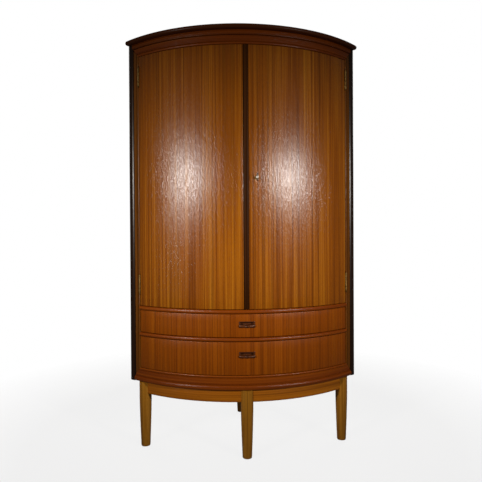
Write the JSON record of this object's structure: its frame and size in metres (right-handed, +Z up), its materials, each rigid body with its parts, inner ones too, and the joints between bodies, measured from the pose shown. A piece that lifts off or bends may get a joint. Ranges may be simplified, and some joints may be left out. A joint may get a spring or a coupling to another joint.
{
  "type": "corner cabinet",
  "caption": "Bow-front corner cabinet with hinged curved doors, a key lock, curved drawers with carved grips, shelves, a moulded frame and turned legs.",
  "frame": {"origin": "on the floor, at the middle of the footprint's width and depth", "axes": "+Z up, +Y towards the room's corner, +X to the right of someone facing the doors"},
  "size_m": [0.9698, 0.6255, 1.667],
  "materials": {
    "teak_veneer": "satin oiled and waxed, vertical straight grain in matched leaves",
    "teak_solid": "satin oiled, grain along the curve",
    "dark_wood": "satin lacquered, nearly black brown",
    "leg_wood": "satin stained, olive brown",
    "carcase_board": "thin satin coat on veneered board",
    "drawer_wood": "pale, sanded and waxed",
    "brass": "dulled",
    "steel": "satin nickel"
  },
  "bodies": {
    "carcase": {"aprons": "teak_solid", "back_panel": "carcase_board", "base_moulding": "teak_solid", "bottom_rail": "teak_solid", "ceiling_board": "carcase_board", "centre_leg": "leg_wood", "cornice": "dark_wood", "door_board": "carcase_board", "door_stop": "carcase_board", "drawer_board": "carcase_board", "drawer_runners": "drawer_wood", "floor_board": "carcase_board", "frame_hinge_leaves": "brass", "frame_hinge_screws": "steel", "frieze_rail": "teak_solid", "head_rail": "teak_solid", "hinge_pins": "brass", "left_leg": "leg_wood", "left_post": "dark_wood", "left_stile": "teak_solid", "left_wall_panel": "carcase_board", "lower_bead_rail": "teak_solid", "lower_shelf": "carcase_board", "middle_shelf": "carcase_board", "rear_leg": "leg_wood", "right_leg": "leg_wood", "right_post": "dark_wood", "right_stile": "teak_solid", "right_wall_panel": "carcase_board", "shelf_pegs": "brass", "side_rails": "leg_wood", "upper_bead_rail": "teak_solid", "upper_shelf": "carcase_board"},
    "left_door": {"left_door_panel": "teak_veneer", "left_door_hinge_leaves": "brass", "left_door_hinge_screws": "steel", "strike_plate": "steel", "bolt_guides": "brass"},
    "right_door": {"right_door_panel": "teak_veneer", "meeting_strip": "dark_wood", "right_door_hinge_leaves": "brass", "right_door_hinge_screws": "steel", "lock_case": "steel", "escutcheon": "brass"},
    "key": {"key": "steel"},
    "lock_bolt": {"lock_bolt": "steel"},
    "top_slide_bolt": {"top_slide_bolt": "brass"},
    "bottom_slide_bolt": {"bottom_slide_bolt": "brass"},
    "upper_drawer": {"upper_drawer_back": "drawer_wood", "upper_drawer_bottom": "drawer_wood", "upper_drawer_front": "teak_veneer", "upper_drawer_grip": "dark_wood", "upper_drawer_guides": "drawer_wood", "upper_drawer_sides": "drawer_wood"},
    "lower_drawer": {"lower_drawer_back": "drawer_wood", "lower_drawer_bottom": "drawer_wood", "lower_drawer_front": "teak_veneer", "lower_drawer_grip": "dark_wood", "lower_drawer_guides": "drawer_wood", "lower_drawer_sides": "drawer_wood"}
  },
  "joints": [
    {"name": "left_door_hinge", "type": "hinge", "parent": "carcase", "child": "left_door", "pos_m": [-0.42985, -0.12777, 1.09], "axis": [0, 0, -1], "range_deg": [0, 110]},
    {"name": "right_door_hinge", "type": "hinge", "parent": "carcase", "child": "right_door", "pos_m": [0.42985, -0.12777, 1.09], "axis": [0, 0, 1], "range_deg": [0, 110]},
    {"name": "key_turn", "type": "hinge", "parent": "right_door", "child": "key", "pos_m": [0.04, -0.27582, 1.086], "axis": [0.0588, -0.9983, 0], "range_deg": [0, 180]},
    {"name": "lock_bolt_throw", "type": "slide", "parent": "right_door", "child": "lock_bolt", "axis": [-0.9983, -0.0588, 0], "range_m": [0, 0.01]},
    {"name": "top_slide_bolt_throw", "type": "slide", "parent": "left_door", "child": "top_slide_bolt", "axis": [0, 0, 1], "range_m": [0, 0.01]},
    {"name": "bottom_slide_bolt_throw", "type": "slide", "parent": "left_door", "child": "bottom_slide_bolt", "axis": [0, 0, -1], "range_m": [0, 0.01]},
    {"name": "upper_drawer_slide", "type": "slide", "parent": "carcase", "child": "upper_drawer", "axis": [0, -1, 0], "range_m": [0, 0.3]},
    {"name": "lower_drawer_slide", "type": "slide", "parent": "carcase", "child": "lower_drawer", "axis": [0, -1, 0], "range_m": [0, 0.3]}
  ],
  "couplings": [
    {"joint": "lock_bolt_throw", "follows": "key_turn", "m_per_rad": 0.003183}
  ]
}
